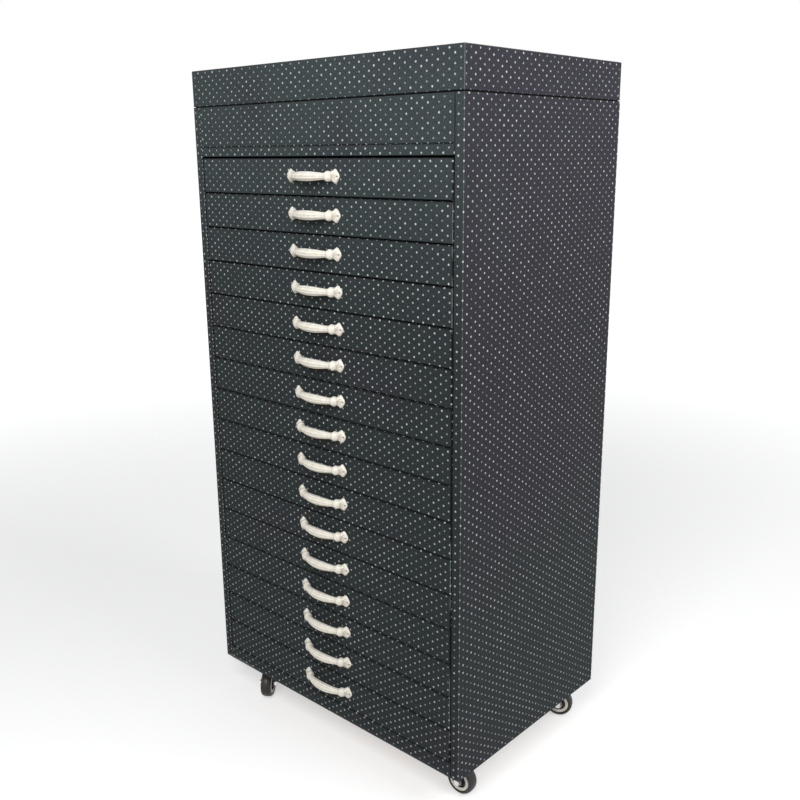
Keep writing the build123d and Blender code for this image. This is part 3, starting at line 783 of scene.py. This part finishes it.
def pull_mesh():
    """The cast pull about its own middle with its screws' heads, and how stained each point is."""
    half = smooth_track(PULL_STATIONS, PULL_STEPS)
    track = [(-row[0], *row[1:]) for row in half[:0:-1]] + half
    stains = []

    def build(form):
        loops = []
        for i, row in enumerate(track):
            before, after = track[max(i - 1, 0)], track[min(i + 1, len(track) - 1)]
            run = Vector((after[0] - before[0], -(after[1] - before[1]))).normalized()
            section = pull_section(*row, Vector((run.y, -run.x)))
            loops.append([form.verts.new((x * MM, y * MM, z * MM)) for x, y, z, _ in section])
            stains.extend(point[3] for point in section)
        for here, there in zip(loops, loops[1:]):
            join_rings(form, here, there)
        form.faces.new(loops[0])
        form.faces.new(loops[-1][::-1])
        inwards = Matrix.Rotation(-math.pi / 2, 4, "X")
        for x in (-HOLE, HOLE):
            place = Matrix.Translation((x * MM, FRONT_BOARD, 0)) @ inwards
            screw_head(form, place, SCREW_HEAD * MM, SCREW_HEAD_DEPTH * MM, material=1)

    mesh = finished_mesh("pull", build)
    stains += [0.0] * (len(mesh.vertices) - len(stains))
    mesh.attributes.new("hollow", "FLOAT", "POINT").data.foreach_set("value", stains)
    return mesh


def add_handles():
    """A cast pull on every drawer."""
    mesh = pull_mesh()
    for node in DRAWERS:
        number = node[-2:]
        low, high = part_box(f"handle_{number}")
        place = Matrix.Translation(((low.x + high.x) / 2, FRONT, (low.z + high.z) / 2))
        piece = add_piece(f"pull_{number}", mesh, f"drawer_{number}", [IVORY, ZINC], place)
        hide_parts(f"handle_{number}")


# ---- lid ----

# How far the sheet that shades the lid's seam lies behind the lid's outside and how far in it reaches, and
# the share of the seam that it leaves open
EDGE_SET_IN = 2.4 * MM
EDGE_REACH = 14.0 * MM
EDGE_CLEAR = 0.15


def add_lid_seam_shade():
    """A sheet of wrap under the lid's walls, put there to shade the seam above the carcass into a dark line.
    """
    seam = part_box("lid_rim")[0].z - CARCASS_TOP
    low, high = CARCASS_TOP + EDGE_CLEAR * seam, CARCASS_TOP + seam

    def build(form):
        rings = []
        for inset, z in ((EDGE_SET_IN, low), (EDGE_SET_IN, high), (EDGE_REACH, high), (EDGE_REACH, low)):
            x, y = SIDE - inset, BACK - inset
            rings.append([form.verts.new((sx * x, sy * y, z)) for sx, sy in CORNERS])
        for here, there in zip(rings, rings[1:] + rings[:1]):
            join_rings(form, here, there)

    mesh = finished_mesh("seam_shade_sheet", build, smooth=False)
    add_piece("lid_seam_shade_sheet", mesh, "lid", [WRAP])


# ---- hinges ----

HINGE_SCREWS = (-20.0 * MM, 0.0, 20.0 * MM)
HINGE_SCREW_RISE = 15.0 * MM
HINGE_SCREW_HEAD = 3.4 * MM
HINGE_SCREW_DEPTH = 1.1 * MM
HALF_HINGE = 30.0 * MM
LEAF = 1.6 * MM


def add_hinge_screws():
    """Three screws through every leaf."""
    outwards = Matrix.Rotation(-math.pi / 2, 4, "X")
    pin_low, pin_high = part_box("hinge_pins")
    pivot = (pin_low.z + pin_high.z) / 2
    leaf_low, leaf_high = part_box("fixed_hinge_leaves")
    middles = (leaf_low.x + HALF_HINGE, leaf_high.x - HALF_HINGE)
    for body, up, name in (("lid", 1, "lid_hinge_screws"), ("cabinet", -1, "fixed_hinge_screws")):
        def build(form):
            for middle in middles:
                for dx in HINGE_SCREWS:
                    spot = (middle + dx, BACK + LEAF, pivot + up * HINGE_SCREW_RISE)
                    place = Matrix.Translation(spot) @ outwards
                    screw_head(form, place, HINGE_SCREW_HEAD, HINGE_SCREW_DEPTH)
        add_piece(name, finished_mesh(name, build), body, [BRIGHT])


# ---- casters ----

# Half of each wheel piece's section, from the inside out: distance from the axle and from the
# wheel's middle plane, in millimetres
TYRE_PROFILE = [
    (17.5, 7.7), (17.9, 8.8), (18.8, 9.4), (19.8, 9.5), (20.9, 9.3), (22.0, 8.5), (22.9, 7.1), (23.45, 5.7),
    (23.55, 5.1), (23.2, 4.85), (23.2, 4.55), (23.75, 4.3), (23.9, 2.6), (23.98, 0.9),
]
HUB_PROFILE = [
    (3.05, 9.4), (6.4, 9.4), (6.9, 8.9), (7.1, 3.6), (7.8, 3.1), (11.2, 3.1), (11.9, 3.7), (12.1, 7.5),
    (12.3, 8.4), (12.9, 9.2), (13.9, 9.45), (14.5, 9.3), (14.7, 8.9), (14.9, 9.3), (15.6, 9.45), (16.7, 9.1),
    (17.3, 8.4), (17.45, 7.7),
]
LATHE_STEPS = 72
RING_START = 12.0
AXLE_NUT = 6.0 * MM
FORK_OUTSIDE = 12.3 * MM


def both_halves(profile):
    """A closed section from its half on one side of the wheel's middle plane, in metres."""
    upper = [(radius * MM, width * MM) for radius, width in profile]
    return upper + [(radius, -width) for radius, width in upper[::-1]]


def lathe(section, material_of=lambda i: 0):
    """A solid of revolution about local Y from (radius, width) points, closed from last to first."""
    def build(form):
        rings = []
        for k in range(LATHE_STEPS):
            angle = 2 * math.pi * k / LATHE_STEPS
            c, s = math.cos(angle), math.sin(angle)
            rings.append([form.verts.new((r * c, w, r * s)) for r, w in section])
        for here, there in zip(rings, rings[1:] + rings[:1]):
            for i in range(len(section)):
                j = (i + 1) % len(section)
                form.faces.new((here[i], here[j], there[j], there[i])).material_index = material_of(i)
    return finished_mesh("lathe", build)


def wheel_axles():
    """Each wheel's middle and the direction of its axle, by the caster's name."""
    axles = {}
    for joint in frame["joints"]:
        if joint["name"].endswith("_roll"):
            axles[joint["name"][len("wheel_"):-len("_roll")]] = Vector(joint["pos_m"]), Vector(joint["axis"])
    return axles


def add_casters():
    """A turned tyre and hub on every wheel, and a bright bolt and nut on every fork."""
    hub_section = both_halves(HUB_PROFILE)

    def hub_material(i):
        near, far = hub_section[i], hub_section[(i + 1) % len(hub_section)]
        return 1 if min(near[0], far[0]) > RING_START * MM and near[1] * far[1] > 0 else 0

    hub = lathe(hub_section, hub_material)
    tyre = lathe(both_halves(TYRE_PROFILE))
    for name, (middle, axle) in wheel_axles().items():
        level = axle.cross(Vector((0, 0, 1)))
        turn = Matrix((level, axle, Vector((0, 0, 1)))).transposed().to_4x4()
        place = Matrix.Translation(middle) @ turn
        wheel = f"wheel_{name}"
        piece = add_piece(f"tyre_{name}", tyre, wheel, [TYRE], place)
        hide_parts(f"caster_tyre_{name}")
        piece = add_piece(f"hub_{name}", hub, wheel, [HUB, RING], place)
        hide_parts(f"caster_hub_{name}")

        def fork_choice(centre, normal):
            arm = centre - middle
            out = abs(arm.dot(axle))
            from_axle = (arm - axle * arm.dot(axle)).length
            return 1 if from_axle < AXLE_NUT and (out > FORK_OUTSIDE or from_axle < AXLE_NUT / 2) else 0

        paint(f"caster_fork_{name}", [FORK_STEEL, BRIGHT], fork_choice)


# ---- the room ----

def add_floor():
    """A pale floor that keeps the cabinet's shadow and turns white far from it."""
    mesh = bpy.data.meshes.new("floor")
    mesh.from_pydata([(x * FLOOR_REACH, y * FLOOR_REACH, 0) for x, y in CORNERS], [], [(0, 1, 2, 3)])
    floor = bpy.data.objects.new("floor", mesh)
    bpy.context.scene.collection.objects.link(floor)
    shader = Shader("floor")
    away = shader.ramp(shader.vector("LENGTH", shader.place()), FLOOR_WHITE_NEAR, FLOOR_WHITE_FAR,
                       FLOOR_WHITE_LEAST, FLOOR_WHITE_MOST)
    shader.set(Base_Color=FLOOR_GREY, Roughness=0.9, Specular_IOR_Level=0.0)
    shader.set(Emission_Color=WHITE, Emission_Strength=shader.times(shader.seen_rays(), away))
    mesh.materials.append(shader.material)


def add_world():
    """Weak sky light, with plain white where the sky itself is seen."""
    world = bpy.data.worlds.new("studio")
    world.use_nodes = True
    bpy.context.scene.world = world
    world.node_tree.nodes.clear()
    nodes = Nodes(world.node_tree)
    lit = nodes.node("Background", {"Color": SKY_COLOUR, "Strength": SKY_STRENGTH}).outputs[0]
    seen = nodes.node("Background", {"Color": WHITE, "Strength": 1.0}).outputs[0]
    sky = nodes.node("MixShader", {0: nodes.seen_rays(), 1: lit, 2: seen}).outputs[0]
    nodes.node("OutputWorld", {"Surface": sky})


def add_lamp(name, place, aim, power):
    """A square soft lamp at place, turned to aim."""
    light = bpy.data.lights.new(name, "AREA")
    light.shape = "SQUARE"
    light.size = LAMP_SIZE
    light.energy = power
    lamp = bpy.data.objects.new(name, light)
    bpy.context.scene.collection.objects.link(lamp)
    lamp.location = place
    lamp.rotation_mode = "QUATERNION"
    lamp.rotation_quaternion = (Vector(aim) - Vector(place)).to_track_quat("-Z", "Y")


def add_camera():
    """The camera at the photograph's place and angle."""
    azimuth, elevation, roll = (math.radians(a) for a in (CAMERA_AZIMUTH, CAMERA_ELEVATION, CAMERA_ROLL))
    back = Vector((math.sin(azimuth) * math.cos(elevation), -math.cos(azimuth) * math.cos(elevation),
                   math.sin(elevation)))
    level = Vector((math.cos(azimuth), math.sin(azimuth), 0))
    upright = back.cross(level)
    right = math.cos(roll) * level + math.sin(roll) * upright
    up = math.cos(roll) * upright - math.sin(roll) * level
    data = bpy.data.cameras.new("camera")
    data.sensor_width = SENSOR
    data.lens = SENSOR * CAMERA_FOCUS
    data.clip_end = CAMERA_SIGHT
    camera = bpy.data.objects.new("camera", data)
    bpy.context.scene.collection.objects.link(camera)
    turn = Matrix((right, up, back)).transposed()
    camera.matrix_world = Matrix.Translation(CAMERA_PLACE) @ turn.to_4x4()
    bpy.context.scene.camera = camera


add_camera()
add_floor()
add_world()
add_lamp("key", KEY_PLACE, KEY_AIM, KEY_POWER)
add_lamp("fill", FILL_PLACE, FILL_AIM, FILL_POWER)
bpy.context.scene.view_settings.view_transform = "Standard"

paint_carcass()
paint_drawers()
paint_metal()
add_casters()
add_handles()
add_lid_seam_shade()
add_hinge_screws()
